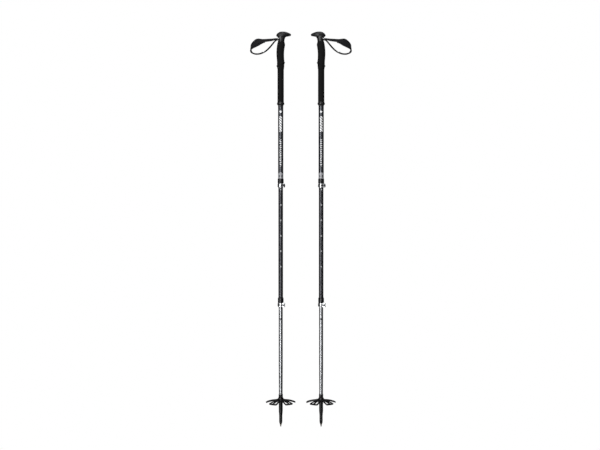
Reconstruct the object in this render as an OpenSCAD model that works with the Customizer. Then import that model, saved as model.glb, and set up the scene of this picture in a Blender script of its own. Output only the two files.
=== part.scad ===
// A pair of three-section trekking poles, standing side by side on their tips.
// Millimetres. +Z is up the shafts, +X runs from the left pole to the right one, and the
// origin is on the ground midway between the two tips. Heights are measured from the tips.

/* [Pair] */
// Distance between the axes of the two poles
pole_spacing = 131.5; // [120:0.5:300]

/* [Shafts] */
// Outer diameter of the upper tube
upper_od = 17; // [16.8:0.1:17.4]
// Outer diameter of the middle tube
middle_od = 15; // [14.8:0.1:15]
// Outer diameter of the lower tube
lower_od = 13; // [12.8:0.1:13]
// Diameter of the lower tube where it enters the ferrule
lower_foot_od = 11.8; // [11.6:0.1:12]
// Wall thickness of the tubes
tube_wall = 0.8; // [0.75:0.05:0.9]
// Height of the top end of the upper tube, inside the grip
upper_top = 1236; // [1230:1:1237]
// Height of the hidden top end of the middle tube
middle_top = 880; // [850:1:880]
// Height of the hidden top end of the lower tube
lower_top = 518; // [480:1:518]

/* [Clamps] */
// Height of the middle of the upper clamp lever
upper_clamp_z = 785; // [780:1:790]
// Height of the middle of the lower clamp lever
lower_clamp_z = 397; // [390:1:400]
// Turn of the upper clamp about the pole, towards the front
upper_clamp_turn = -12; // [-25:1:0]
// Turn of the lower clamp about the pole
lower_clamp_turn = 0; // [-10:1:10]
// Height of a clamp lever
lever_h = 13; // [12:0.5:14]
// Outer radius of the lever where it wraps the skirt
lever_r = 10.1; // [10:0.1:10.6]
// Radius of the split skirt of a clamp collar
skirt_r = 8.3; // [8.2:0.05:8.4]
// Distance of the clamp screw from the pole axis
screw_x = 11.3; // [11:0.1:12]
// Distance of the barrel nut in front of the pole axis
barrel_y = 7.8; // [7.7:0.1:8.2]

/* [Grip] */
// Height of the top of the head
head_top = 1284; // [1280:1:1290]
// Height of the joint between head and foam
head_base = 1251; // [1250:0.5:1252]
// Height of the joint between the shaped grip and the straight foam
grip_base = 1162; // [1158:1:1165]
// Height of the joint between the straight foam and its end ring
extension_base = 1056; // [1050:1:1060]
// Diameter of the straight foam
extension_od = 20.6; // [20:0.1:23]
// Diameter of the end ring
ring_od = 23.7; // [23:0.1:26]

/* [Strap] */
// Width of the webbing
webbing_w = 18; // [15:1:18]
// Thickness of the webbing
webbing_t = 1.6; // [1.2:0.1:1.8]
// Width of the pad
pad_w = 33; // [28:1:34]
// Thickness of the pad
pad_t = 2.4; // [2:0.1:2.8]

/* [Tip and basket] */
// Radius of the straight end of the ferrule, where a rubber foot pushes on
ferrule_end_r = 5.2; // [5:0.1:5.4]
// Outer radius of the basket
basket_r = 48; // [44:0.5:48]
// Height of the top of the basket at its rim
basket_rim_z = 80.5; // [78:0.5:81]
// Thickness of the basket web
basket_t = 3.8; // [2:0.1:4]
// Number of lobes round the basket
basket_lobes = 5; // [4:1:6]
// Turn of the basket about the pole
basket_turn = 20.3; // [0:0.1:72]

/* [Hidden] */
$fn = 96;
SIDES = [-1, 1];
PARTS = ["grip_core", "grip_foam", "grip_head", "grip_extension", "extension_ring",
    "strap_webbing", "strap_pad", "strap_pin", "strap_wedge",
    "upper_shaft", "upper_collar", "upper_lever", "upper_barrel", "upper_screw",
    "middle_shaft", "middle_bush", "lower_collar", "lower_lever", "lower_barrel", "lower_screw",
    "lower_shaft", "lower_bush", "ferrule", "tip_sleeve", "carbide_tip", "basket"];
NODES = [for (side = SIDES, part = PARTS) str(side_name(side), "_", part)];
node = "all";

function side_name(side) = side < 0 ? "left" : "right";

// Fits
slide_gap = 0.1;
turn_gap = 0.06;

// Tubes
upper_bottom = upper_clamp_z + lever_h / 2 + 2;
middle_bottom = lower_clamp_z + lever_h / 2 + 2;
lower_bottom = 72;
taper_start = 200;
ferrule_top = 105.5;
foot_end_r = 5;

// Tip and basket
sleeve_tip_r = 2.7;
sleeve_tip_top = 32;
carbide_r = 1.7;
carbide_top = 16;
thread_r = 6.6;
basket_top = 94.5;
cleft_r = 15;

// Clamps
screw_r = 1.25;
screw_head_r = 2.4;
barrel_r = 2.1;
lever_hub_r = 3.1;
lever_cam = 0.14;
lever_start = -62;
lever_end = -208;
lever_inner_r = skirt_r + 0.3;
ear_half_gap = 1.2;
ear_t = 3.1;
ear_start_x = 7.2;
ear_end_x = 13.6;
ear_h = 12;
sleeve_r = 9.7;
lower_sleeve_r = 9.3;
upper_sleeve_top = 807.5;
lower_sleeve_top = 421;

// Grip
core_base = grip_base + 10;
core_r = 9.3;
core_shoulder = 1240;
neck_base = 1244;
neck_r = 6;
core_top = 1254;
strap_pin_x = -4.5;
strap_pin_z = 1261.5;
strap_pin_r = 1.5;
head_half_w = 13.5;

// Point at an angle round an oval ring; the power squares its sides a little
ring_power = 0.85;
function squared(x) = sign(x) * pow(abs(x), ring_power);
function ring_point(level, a) = [
    (level[1] + level[2]) / 2 + (level[2] - level[1]) / 2 * squared(cos(a)),
    level[3] * squared(sin(a)),
    level[0]];

// Catmull-Rom curve through a list of points, with a number of steps in each span
function spline_point(p, i, t) = let (
    n = len(p), a = p[max(i - 1, 0)], b = p[i], c = p[i + 1], d = p[min(i + 2, n - 1)])
    0.5 * ((2 * b) + (c - a) * t + (2 * a - 5 * b + 4 * c - d) * t * t
    + (3 * b - a - 3 * c + d) * t * t * t);
function spline(p, steps) = [
    for (i = [0:len(p) - 2], s = [0:steps - 1]) spline_point(p, i, s / steps), p[len(p) - 1]];

// A closed skin over rings that each hold the same number of points
module skin(rings) {
    n = len(rings[0]);
    last = len(rings) - 1;
    sides = [for (r = [0:last - 1], i = [0:n - 1]) let (j = (i + 1) % n)
        each [[r * n + i, r * n + j, (r + 1) * n + i], [r * n + j, (r + 1) * n + j, (r + 1) * n + i]]];
    low = [for (i = [0:n - 1]) n - 1 - i];
    high = [for (i = [0:n - 1]) last * n + i];
    polyhedron(points = [for (r = rings) each r], faces = concat([low], sides, [high]));
}

// A skin over oval levels, each given as height, back, front and half width
module oval_loft(levels, around = 28) {
    skin([for (level = levels) [for (i = [0:around - 1]) ring_point(level, -360 * i / around)]]);
}

module tube(outer_r, inner_r, z0, z1) {
    translate([0, 0, z0]) difference() {
        cylinder(r = outer_r, h = z1 - z0);
        translate([0, 0, -1]) cylinder(r = inner_r, h = z1 - z0 + 2);
    }
}

// Body of revolution through points of radius and height
module turned(points) {
    rotate_extrude() polygon(points);
}

module at_pole(side) {
    translate([side * pole_spacing / 2, 0, 0]) children();
}

// The grip and strap of the right pole are turned round to face the other way
module at_grip(side) {
    at_pole(side) rotate([0, 0, side < 0 ? 0 : 180]) children();
}

module at_clamp(z, turn) {
    translate([0, 0, z]) rotate([0, 0, turn]) children();
}

// Grip ------------------------------------------------------------------------------

// Hard plastic sleeve round the tube end, closed at the top, with a neck for the head
module grip_core() {
    color("dimgray") turned([
        [upper_od / 2, core_base], [core_r, core_base], [core_r, core_shoulder], [neck_r, neck_base],
        [neck_r, core_top], [0, core_top], [0, upper_top], [upper_od / 2, upper_top]]);
}

// Back (strap side), front (finger side) and half width of the foam at each height
foam_levels = [
    [grip_base, -10.4, 10.5, 10.6], [1166, -11.6, 11.2, 11.4], [1171, -14.2, 12, 12.4],
    [1176, -13, 13.2, 12.6], [1182, -11.6, 14.2, 12.6], [1187, -11.4, 13, 12.3],
    [1197, -12.7, 11.2, 12.4], [1210, -13.7, 10.9, 12.6], [1222, -13.5, 11.4, 12.8],
    [1233, -12.6, 13.2, 12.8], [1241, -11.4, 14.4, 12.6], [1246, -10.4, 13.6, 12.2],
    [head_base, -9, 12.4, 12]];

module grip_foam() {
    color("#1c1c1c") difference() {
        oval_loft(foam_levels);
        translate([0, 0, grip_base - 1]) cylinder(r = upper_od / 2, h = core_base - grip_base + 1);
        turned([[0, core_base], [core_r, core_base], [core_r, core_shoulder],
            [neck_r, neck_base], [neck_r, head_base + 1], [0, head_base + 1]]);
    }
}

// Back, beak side and half width of the head at each height
head_levels = [
    [head_base, -8.8, 12.2, 11.8], [1256, -7.9, 12.6, 11.6], [1262, -8.4, 14, 12],
    [1266, -10.8, 16, 13], [1268.4, -12.4, 19.5, head_half_w], [1270.4, -14, 32, head_half_w],
    [1275.5, -12.6, 33.6, 13], [1279, -9.4, 28.5, 11.6], [1282, -4.8, 21.5, 8.4], [head_top, 3, 13, 3.4]];

module grip_head() {
    color("#262626") difference() {
        oval_loft(head_levels);
        translate([0, 0, head_base - 1]) cylinder(r = neck_r, h = core_top - head_base + 1);
        // Slot at the back for the webbing, flared towards its mouth
        rotate([90, 0, 0]) linear_extrude(webbing_w + 1, center = true) polygon([
            [1, strap_pin_z - 5.8], [1, strap_pin_z + 4.8], [-7, strap_pin_z + 4.8],
            [-16, strap_pin_z + 7.6], [-16, strap_pin_z - 11], [-5.5, strap_pin_z - 5.8]]);
        // Pocket for the wedge
        translate([-9, -webbing_w / 2, strap_pin_z + 4]) cube([12, webbing_w, 5]);
        // Cross hole for the pin
        translate([strap_pin_x, 0, strap_pin_z]) rotate([90, 0, 0])
            cylinder(r = strap_pin_r, h = 2 * head_half_w, center = true);
    }
}

module grip_extension() {
    color("#1a1a1a") tube(extension_od / 2, upper_od / 2, extension_base, grip_base);
}

module extension_ring() {
    low = extension_base - 13;
    color("#222222") turned([
        [upper_od / 2, low], [upper_od / 2 + 0.4, low], [upper_od / 2 + 0.8, low + 0.8],
        [ring_od / 2 - 0.4, low + 4.6], [ring_od / 2, low + 5.6], [ring_od / 2, low + 9.6],
        [ring_od / 2 - 0.5, low + 10.8], [extension_od / 2 + 0.1, extension_base],
        [upper_od / 2, extension_base]]);
}

// Wrist strap -----------------------------------------------------------------------

// The left loop from the front: along, across, height and lean of the webbing's width. The right
// loop is its mirror image, as each is made for one hand.
strap_route = [
    [-5.5, 0, 1264.4, 0], [-16, 0, 1260.4, 23], [-28, -1, 1257.4, 33], [-40, -2, 1256, 37],
    [-52, -3, 1254.6, 41], [-63, -4, 1253.2, 47], [-75, -4, 1250, 54], [-86, -3, 1243, 52],
    [-94.5, -2, 1234, 41], [-98, 0, 1225, 27], [-95.4, 1, 1216.4, 14], [-86, 2, 1211.4, 6],
    [-74, 2, 1210.4, 6], [-62, 2, 1213.2, 5], [-48, 1, 1221.4, -4], [-35, 0, 1233.4, -8],
    [-24, 0, 1246.6, -8], [-15.5, 0, 1255.8, -5], [-5.5, 0, 1258.8, 0]];
strap_steps = 5;
function strap_line(side) = spline(
    [for (p = strap_route) [p[0], -side * p[1], p[2], -side * p[3]]], strap_steps);

// Unit vector along the loop, across the webbing's width, and out of its face
function line_dir(line, i) = let (d = line[min(i + 1, len(line) - 1)] - line[max(i - 1, 0)])
    [d[0], d[1], d[2]] / norm([d[0], d[1], d[2]]);
function face_dir(line, i) = let (
    d = line_dir(line, i), lean = line[i][3],
    w = [0, cos(lean), sin(lean)], f = cross(d, w)) f / norm(f);
function width_dir(line, i) = cross(face_dir(line, i), line_dir(line, i));

// Flat section of the band at one point of the line, between two offsets from its middle
function band_ring(line, i, w, t0, t1) = let (
    p = [line[i][0], line[i][1], line[i][2]], f = face_dir(line, i), s = width_dir(line, i))
    [p - s * w / 2 + f * t0, p - s * w / 2 + f * t1, p + s * w / 2 + f * t1, p + s * w / 2 + f * t0];

// A band along part of the line, from one of its points to another
module band(line, first, last, w, t0, t1) {
    skin([for (i = [first:last]) band_ring(line, i, w, t0, t1)]);
}

module strap_webbing(side) {
    line = strap_line(side);
    color("#17181d") band(line, 0, len(line) - 1, webbing_w, -webbing_t / 2, webbing_t / 2);
}

// The pad lines the inside of the outer half of the loop
pad_first = 4 * strap_steps;
pad_last = 13 * strap_steps + 2;
pad_gap = 1;

module strap_pad(side) {
    inner = webbing_t / 2 + pad_gap;
    color("#15161b") band(strap_line(side), pad_first, pad_last, pad_w, inner, inner + pad_t);
}

module strap_pin() {
    color("silver") translate([strap_pin_x, 0, strap_pin_z]) rotate([90, 0, 0])
        cylinder(r = strap_pin_r, h = 2 * head_half_w - 4.4, center = true);
}

module strap_wedge() {
    color("#303030") rotate([90, 0, 0]) linear_extrude(webbing_w - 0.4, center = true) polygon([
        [-8.8, strap_pin_z + 5], [-6.5, strap_pin_z + 4.8], [2.8, strap_pin_z + 4.8],
        [2.8, strap_pin_z + 8.8], [-8.8, strap_pin_z + 8.8]]);
}

// Clamps ----------------------------------------------------------------------------

// Plastic housing: a sleeve on the outer tube, and a split skirt with two ears below it
module collar(outer_r, inner_r, tube_end, sleeve_od_r, sleeve_top, clamp_z, turn) {
    low = clamp_z - lever_h / 2;
    high = clamp_z + lever_h / 2 + 0.3;
    color("#191a1c") difference() {
        union() {
            turned([
                [inner_r, low], [skirt_r, low], [skirt_r, high], [sleeve_od_r, high],
                [sleeve_od_r, sleeve_top - 3], [outer_r + 0.7, sleeve_top], [outer_r, sleeve_top],
                [outer_r, tube_end], [inner_r, tube_end]]);
            at_clamp(clamp_z, turn) for (y = [-ear_half_gap - ear_t, ear_half_gap])
                translate([ear_start_x, y, -ear_h / 2]) ear();
        }
        // Bore for the inner tube, clear of the ears
        translate([0, 0, low - 1]) cylinder(r = inner_r + turn_gap, h = tube_end - low + 1);
        // The slit that lets the skirt close on the inner tube
        at_clamp(clamp_z, turn) translate([5, -ear_half_gap, -lever_h])
            cube([12, 2 * ear_half_gap, 1.5 * lever_h]);
        at_clamp(clamp_z, turn) translate([screw_x, 0, 0]) rotate([90, 0, 0])
            cylinder(r = screw_r + turn_gap, h = 12, center = true);
    }
}

// One ear of the collar, with a rounded outer end
module ear() {
    reach = ear_end_x - ear_start_x;
    corner = 2.4;
    cube([reach - corner, ear_t, ear_h]);
    translate([0, 0, corner]) cube([reach, ear_t, ear_h - 2 * corner]);
    for (z = [corner, ear_h - corner]) translate([reach - corner, ear_t, z]) rotate([90, 0, 0])
        cylinder(r = corner, h = ear_t);
}

// The four tangent points of two circles, which join them with straight sides
function tangent_quad(a, ra, b, rb) = let (
    d = b - a, turn = atan2(d[1], d[0]), off = acos((ra - rb) / norm(d)))
    [for (q = [[a, ra, off], [b, rb, off], [b, rb, -off], [a, ra, -off]])
        q[0] + q[1] * [cos(turn + q[2]), sin(turn + q[2])]];

// Pie slice from one angle back to another, clockwise
module slice(from, to, r) {
    n = 8;
    polygon([[0, 0], for (i = [0:n]) let (a = from + (to - from) * i / n) 2 * r * [cos(a), sin(a)]]);
}

// The lever at full height: an eccentric hub on the barrel nut, an arm and a curved wrap
module lever_body() {
    mid_r = (lever_r + lever_inner_r) / 2;
    half_t = (lever_r - lever_inner_r) / 2;
    hub = [screw_x, -barrel_y + lever_cam];
    start = mid_r * [cos(lever_start), sin(lever_start)];
    tail = 1.05 * mid_r * [cos(lever_end), sin(lever_end)];
    intersection() {
        tube(lever_r, lever_inner_r, 0, lever_h);
        linear_extrude(lever_h) slice(lever_start, lever_end, lever_r);
    }
    translate(hub) cylinder(r = lever_hub_r, h = lever_h);
    translate(start) cylinder(r = half_t, h = lever_h);
    linear_extrude(lever_h) polygon(tangent_quad(hub, lever_hub_r, start, half_t));
    translate(tail) cylinder(r = half_t + 0.45, h = lever_h);
}

// The lever from the front: a tongue that narrows to the tail
module lever_side() {
    h = lever_h / 2;
    tip = -lever_r - 2;
    polygon([
        [16, -h + 0.8], [16, h - 0.8], [11, h], [-1, h], [-5, h - 0.6], [-8.4, h - 1.7], [tip, h - 2.6],
        [tip, -h + 2.6], [-8.4, -h + 1.7], [-5, -h + 0.6], [-1, -h], [11, -h]]);
}

module lever(clamp_z, turn) {
    window_h = 3.1;
    color("gainsboro") at_clamp(clamp_z, turn) difference() {
        intersection() {
            translate([0, 0, -lever_h / 2]) lever_body();
            rotate([90, 0, 0]) linear_extrude(60, center = true) lever_side();
        }
        // Wedge-shaped window between the two arms of the fork
        translate([0, -4, 0]) rotate([90, 0, 0]) linear_extrude(20) polygon([
            [2.4, -0.6], [7.2, -window_h], [20, -window_h], [20, window_h], [7.2, window_h], [2.4, 0.6]]);
        translate([screw_x, -barrel_y, -lever_h]) cylinder(r = barrel_r + turn_gap, h = 2 * lever_h);
    }
}

module barrel(clamp_z, turn) {
    color("#3a3a3c") at_clamp(clamp_z, turn) translate([screw_x, -barrel_y, 0]) difference() {
        cylinder(r = barrel_r, h = lever_h - 1.6, center = true);
        rotate([90, 0, 0]) cylinder(r = screw_r + turn_gap, h = 3 * barrel_r, center = true);
    }
}

// Socket-head screw, from its head behind the rear ear to the barrel nut
module tension_screw(clamp_z, turn) {
    head_y = ear_half_gap + ear_t;
    color("#4a4a4e") at_clamp(clamp_z, turn) translate([screw_x, 0, 0]) rotate([-90, 0, 0]) {
        translate([0, 0, -barrel_y - 1.5]) cylinder(r = screw_r, h = head_y + barrel_y + 1.6);
        translate([0, 0, head_y + 0.1]) difference() {
            cylinder(r = screw_head_r, h = 2.6);
            translate([0, 0, 1]) cylinder(r = 1.2, h = 2, $fn = 6);
        }
    }
}

module upper_collar() {
    collar(upper_od / 2, middle_od / 2, upper_bottom, sleeve_r, upper_sleeve_top, upper_clamp_z,
        upper_clamp_turn);
}

module lower_collar() {
    collar(middle_od / 2, lower_od / 2, middle_bottom, lower_sleeve_r, lower_sleeve_top,
        lower_clamp_z, lower_clamp_turn);
}

// Tubes -----------------------------------------------------------------------------

module upper_shaft() {
    color("#2b2c30") tube(upper_od / 2, upper_od / 2 - tube_wall, upper_bottom, upper_top);
}

module middle_shaft() {
    color("#26272a") tube(middle_od / 2, middle_od / 2 - tube_wall, middle_bottom, middle_top);
}

// The lower tube narrows towards its foot, and its wall keeps one thickness
module lower_shaft() {
    r = lower_od / 2;
    foot = lower_foot_od / 2;
    color("#b9bcbf") turned([
        [r - tube_wall, lower_top], [r, lower_top], [r, taper_start], [foot, ferrule_top],
        [foot_end_r, lower_bottom], [foot_end_r - tube_wall, lower_bottom],
        [foot - tube_wall, ferrule_top], [r - tube_wall, taper_start]]);
}

// Guide plug: a spigot pressed into the tube's end and a flange that centres it
module end_bush(tube_r, top, guide_r) {
    inner = tube_r - tube_wall;
    color("#e8e4da") turned([
        [inner - 1.4, top - 14], [inner, top - 14], [inner, top], [guide_r, top],
        [guide_r, top + 2], [inner - 1.4, top + 2]]);
}

module middle_bush() {
    end_bush(middle_od / 2, middle_top, middle_od / 2 + 0.04);
}

module lower_bush() {
    end_bush(lower_od / 2, lower_top, lower_od / 2 + 0.04);
}

// Tip and basket --------------------------------------------------------------------

module ferrule() {
    foot = lower_foot_od / 2;
    color("#101012") difference() {
        turned([
            [0, 9], [3.5, 9], [4.7, 12.5], [ferrule_end_r, 17], [ferrule_end_r, 36], [6.5, 52],
            [6.5, 76], [thread_r, 78], [thread_r, basket_top], [6.9, basket_top + 1],
            [6.9, ferrule_top], [0, ferrule_top]]);
        turned([[0, lower_bottom - 4], [foot_end_r, lower_bottom - 4], [foot_end_r, lower_bottom],
            [foot, ferrule_top], [foot, ferrule_top + 1], [0, ferrule_top + 1]]);
        cylinder(r = sleeve_tip_r, h = sleeve_tip_top);
    }
}

module tip_sleeve() {
    color("#b5a46a") difference() {
        turned([[0, 4], [2, 4], [sleeve_tip_r, 6], [sleeve_tip_r, sleeve_tip_top], [0, sleeve_tip_top]]);
        cylinder(r = carbide_r, h = carbide_top);
    }
}

// Hard metal point with a hollow end
module carbide_tip() {
    color("#8d8a80") difference() {
        cylinder(r = carbide_r, h = carbide_top);
        translate([0, 0, -0.01]) cylinder(r1 = carbide_r - 0.4, r2 = 0, h = 1.2);
    }
}

function polar(r, a) = [r * cos(a), r * sin(a)];

// Outline of the basket from above, with a pair of windows in each lobe
module basket_plan() {
    pitch = 360 / basket_lobes;
    lobes = [for (i = [0:basket_lobes - 1]) basket_turn + i * pitch];
    // Radius and half angle up one side of a lobe, from its root to its round-cornered rim
    edge = [[cleft_r, pitch / 2 - 2.4], [40, 21.3], [basket_r - 2.5, 20.2], [basket_r - 0.6, 15.5],
        [basket_r, 9.5], [basket_r, 4]];
    // The same round one window
    window = [[20.6, 6], [32, 4.6], [basket_r - 5.2, 4.2], [basket_r - 4.6, 8.5], [basket_r - 6, 12.8],
        [basket_r - 9, 13.8], [29.6, 12.4], [22.4, 9.6]];
    difference() {
        polygon([for (a = lobes) each [
            for (q = edge) polar(q[0], a - q[1]),
            for (i = [len(edge) - 1:-1:0]) polar(edge[i][0], a + edge[i][1])]]);
        for (a = lobes, side = [-1, 1]) polygon([for (q = window) polar(q[0], a + side * q[1])]);
    }
}

// Top of the web: it rises a little from the rim and rounds over towards the hub
function web_top(r) = let (inward = basket_r - r)
    basket_rim_z + 0.1 * inward + 4 * (1 - pow(inward / 30 - 1, 2));

// A domed web that hangs from a hub, which screws onto the ferrule
module basket() {
    bore_r = thread_r + slide_gap;
    hub_r = 8.6;
    hub_low = 81;
    radii = [0, 9, 13.3, 18.4, 24.7, 30.8, 36.9, 42.1, basket_r + 1];
    color("#121214") difference() {
        union() {
            intersection() {
                turned([
                    for (r = radii) [r, web_top(r) - basket_t],
                    for (i = [len(radii) - 1:-1:0]) [radii[i], web_top(radii[i])]]);
                translate([0, 0, basket_rim_z - 10]) linear_extrude(30) basket_plan();
            }
            turned([[0, hub_low], [hub_r, hub_low], [hub_r + 3.4, web_top(hub_r + 3.4) - 0.8],
                [hub_r + 3.4, web_top(hub_r + 3.4) + 0.4], [hub_r + 0.7, 91], [hub_r - 0.6, basket_top],
                [0, basket_top]]);
        }
        cylinder(r = bore_r, h = 120);
    }
}

// Every node of one pole ------------------------------------------------------------

function shows(side, part) = node == "all" || node == str(side_name(side), "_", part);

for (side = SIDES) {
    if (shows(side, "grip_core")) at_grip(side) grip_core();
    if (shows(side, "grip_foam")) at_grip(side) grip_foam();
    if (shows(side, "grip_head")) at_grip(side) grip_head();
    if (shows(side, "grip_extension")) at_grip(side) grip_extension();
    if (shows(side, "extension_ring")) at_grip(side) extension_ring();
    if (shows(side, "strap_webbing")) at_grip(side) strap_webbing(side);
    if (shows(side, "strap_pad")) at_grip(side) strap_pad(side);
    if (shows(side, "strap_pin")) at_grip(side) strap_pin();
    if (shows(side, "strap_wedge")) at_grip(side) strap_wedge();
    if (shows(side, "upper_shaft")) at_pole(side) upper_shaft();
    if (shows(side, "upper_collar")) at_pole(side) upper_collar();
    if (shows(side, "upper_lever")) at_pole(side) lever(upper_clamp_z, upper_clamp_turn);
    if (shows(side, "upper_barrel")) at_pole(side) barrel(upper_clamp_z, upper_clamp_turn);
    if (shows(side, "upper_screw")) at_pole(side) tension_screw(upper_clamp_z, upper_clamp_turn);
    if (shows(side, "middle_shaft")) at_pole(side) middle_shaft();
    if (shows(side, "middle_bush")) at_pole(side) middle_bush();
    if (shows(side, "lower_collar")) at_pole(side) lower_collar();
    if (shows(side, "lower_lever")) at_pole(side) lever(lower_clamp_z, lower_clamp_turn);
    if (shows(side, "lower_barrel")) at_pole(side) barrel(lower_clamp_z, lower_clamp_turn);
    if (shows(side, "lower_screw")) at_pole(side) tension_screw(lower_clamp_z, lower_clamp_turn);
    if (shows(side, "lower_shaft")) at_pole(side) lower_shaft();
    if (shows(side, "lower_bush")) at_pole(side) lower_bush();
    if (shows(side, "ferrule")) at_pole(side) ferrule();
    if (shows(side, "tip_sleeve")) at_pole(side) tip_sleeve();
    if (shows(side, "carbide_tip")) at_pole(side) carbide_tip();
    if (shows(side, "basket")) at_pole(side) basket();
}
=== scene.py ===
import math

import bmesh
import bpy
from mathutils import Matrix, Vector


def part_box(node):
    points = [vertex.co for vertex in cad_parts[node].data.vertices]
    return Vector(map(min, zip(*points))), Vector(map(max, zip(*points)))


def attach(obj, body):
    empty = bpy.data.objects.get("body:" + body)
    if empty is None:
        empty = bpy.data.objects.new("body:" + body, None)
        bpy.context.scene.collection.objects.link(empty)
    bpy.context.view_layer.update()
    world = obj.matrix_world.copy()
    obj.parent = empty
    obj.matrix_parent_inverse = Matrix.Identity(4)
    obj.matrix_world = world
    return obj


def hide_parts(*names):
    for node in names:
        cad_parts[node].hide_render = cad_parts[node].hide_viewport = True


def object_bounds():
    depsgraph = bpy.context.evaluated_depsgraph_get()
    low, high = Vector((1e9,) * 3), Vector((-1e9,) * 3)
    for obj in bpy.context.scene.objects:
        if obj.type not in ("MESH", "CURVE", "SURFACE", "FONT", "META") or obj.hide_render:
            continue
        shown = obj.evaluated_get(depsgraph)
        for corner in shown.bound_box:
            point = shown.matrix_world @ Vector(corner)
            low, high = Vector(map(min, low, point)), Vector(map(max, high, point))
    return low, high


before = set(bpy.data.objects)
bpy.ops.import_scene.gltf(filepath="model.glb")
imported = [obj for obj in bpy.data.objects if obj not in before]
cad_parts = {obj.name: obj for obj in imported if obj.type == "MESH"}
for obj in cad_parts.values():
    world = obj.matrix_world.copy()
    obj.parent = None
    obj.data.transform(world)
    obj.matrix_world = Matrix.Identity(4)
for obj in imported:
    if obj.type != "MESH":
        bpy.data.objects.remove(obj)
cad_low, cad_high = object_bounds()
MM = 0.001

# Camera and studio -----------------------------------------------------------------------------
# A long lens at the middle of the poles looks almost level at the pair. The poles stand on white
# paper that curves up behind them and glows evenly, so it neither shades nor lights them. A tall
# key lamp a little left of the camera puts the highlight on the tubes.

middle = (cad_low + cad_high) / 2
aim = Vector((middle.x - 3.0 * MM, 0, 0.6569))
eye = aim + Vector((0, -3.3, 0.05))
lens_mm = 60.9
camera = bpy.data.objects.new("camera", bpy.data.cameras.new("camera"))
bpy.context.scene.collection.objects.link(camera)
bpy.context.scene.camera = camera
bpy.context.scene.view_settings.view_transform = "Standard"
camera.location = eye
camera.rotation_euler = (aim - eye).to_track_quat("-Z", "Y").to_euler()
camera.data.lens = lens_mm


def plain_material(name, color, rough, metal=0.0, spec=0.5):
    """A material with its shader's own sockets set, and the tools to build on it."""
    mat = bpy.data.materials.new(name)
    mat.use_nodes = True
    tree = mat.node_tree
    shader = tree.nodes["Principled BSDF"]
    shader.inputs["Base Color"].default_value = (*color, 1)
    shader.inputs["Roughness"].default_value = rough
    shader.inputs["Metallic"].default_value = metal
    shader.inputs["Specular IOR Level"].default_value = spec
    return mat, tree, shader


def new_piece(name, bm, mats, sharp_deg=35):
    """The mesh as a smooth-shaded object at the origin, with creases over an angle kept sharp."""
    mesh = bpy.data.meshes.new(name)
    bm.to_mesh(mesh)
    bm.free()
    piece = bpy.data.objects.new(name, mesh)
    bpy.context.scene.collection.objects.link(piece)
    for mat in mats:
        mesh.materials.append(mat)
    mesh.shade_smooth()
    mesh.set_sharp_from_angle(angle=math.radians(sharp_deg))
    return piece


floor_half, floor_drop, sweep_y, sweep_r, wall_top = 7.0, 0.0005, 2.0, 1.5, 5.0
bm = bmesh.new()
bmesh.ops.create_grid(bm, x_segments=1, y_segments=1, size=floor_half)
bmesh.ops.translate(bm, verts=bm.verts, vec=(0, sweep_y - floor_half, -floor_drop))
back_edge = [e for e in bm.edges if all(abs(v.co.y - sweep_y) < 1e-4 for v in e.verts)]
swept = bmesh.ops.spin(bm, geom=back_edge, axis=(1, 0, 0), cent=(0, sweep_y, sweep_r),
                       angle=math.pi / 2, steps=24, use_merge=False)["geom_last"]
swept_edge = [g for g in swept if isinstance(g, bmesh.types.BMEdge)]
raised = bmesh.ops.extrude_edge_only(bm, edges=swept_edge)
bmesh.ops.translate(bm, vec=(0, 0, wall_top - sweep_r),
                    verts=[v for v in raised["geom"] if isinstance(v, bmesh.types.BMVert)])
bmesh.ops.recalc_face_normals(bm, faces=bm.faces)
paper, tree, shader = plain_material("backdrop_paper", (0.0, 0.0, 0.0), 1.0, spec=0.0)
shader.inputs["Emission Color"].default_value = (1, 1, 1, 1)
shader.inputs["Emission Strength"].default_value = 1.0
backdrop = new_piece("backdrop", bm, [paper])
backdrop.visible_diffuse = backdrop.visible_glossy = backdrop.visible_shadow = False

world = bpy.data.worlds.new("studio")
bpy.context.scene.world = world
world.use_nodes = True
world.node_tree.nodes["Background"].inputs["Color"].default_value = (0.95, 0.97, 1, 1)
world.node_tree.nodes["Background"].inputs["Strength"].default_value = 0.07


def soft_lamp(name, at, look_at, wide, high, watts):
    """A rectangular lamp that faces a point."""
    lamp = bpy.data.objects.new(name, bpy.data.lights.new(name, "AREA"))
    bpy.context.scene.collection.objects.link(lamp)
    lamp.data.shape = "RECTANGLE"
    lamp.data.size, lamp.data.size_y = wide, high
    lamp.data.energy = watts
    lamp.location = at
    lamp.rotation_euler = (Vector(look_at) - Vector(at)).to_track_quat("-Z", "Y").to_euler()


soft_lamp("key", (-1.2, -2.7, 0.6), (0, 0, 0.6), 0.55, 3.4, 92)
soft_lamp("fill", (1.0, -2.9, 0.8), (0, 0, 0.7), 0.5, 2.0, 6)
soft_lamp("top", (0, -0.6, 2.9), (0, 0.0, 0), 1.6, 1.2, 14)


# Tube finishes ---------------------------------------------------------------------------------
# The upper and middle tubes are drawn aluminium with a dark anodised skin and pale printed marks.
# The lower tube is bare aluminium, brushed along its length.

def link(tree, a, b):
    tree.links.new(a, b)


def math_node(tree, op, a, b=None, c=None):
    """A Math node on numbers or other nodes' outputs."""
    node = tree.nodes.new("ShaderNodeMath")
    node.operation = op
    for socket, value in zip(node.inputs, (a, b, c)):
        if isinstance(value, (int, float)):
            socket.default_value = value
        elif value is not None:
            link(tree, value, socket)
    return node.outputs[0]


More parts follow.
